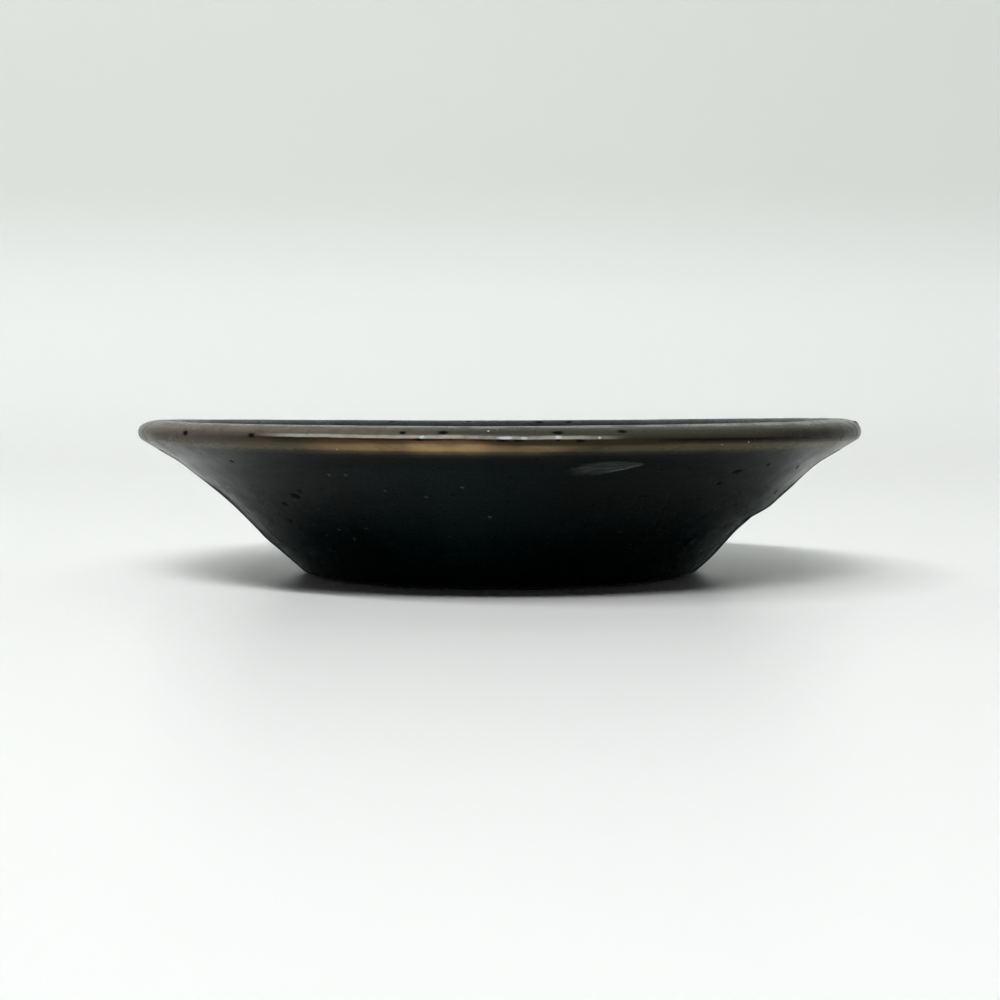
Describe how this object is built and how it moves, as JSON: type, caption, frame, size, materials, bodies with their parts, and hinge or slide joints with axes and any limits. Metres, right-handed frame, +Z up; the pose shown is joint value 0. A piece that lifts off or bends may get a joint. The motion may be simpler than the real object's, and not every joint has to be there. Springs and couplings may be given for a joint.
{
  "type": "sauce dish",
  "caption": "Small round stoneware sauce dish with a flared wall, a thick rounded lip and a low foot ring, glazed black with a bronze lip.",
  "frame": {"origin": "on the table, at the centre of the foot", "axes": "+Z up, along the axis that the dish is round about; the dish has no front, and the picture's view looks along +Y"},
  "size_m": [0.105, 0.105, 0.0222],
  "materials": {
    "stoneware": "bare fired clay, dark brown, matte",
    "black_glaze": "iron black glaze, satin",
    "bronze_glaze": "thin iron glaze broken to bronze brown, satin"
  },
  "bodies": {
    "root": {"foot_ring": "stoneware", "clay_bowl": "stoneware", "foot_well_glaze": "black_glaze", "inside_glaze": "black_glaze", "rim_glaze": "bronze_glaze", "outside_glaze": "black_glaze"}
  },
  "joints": []
}
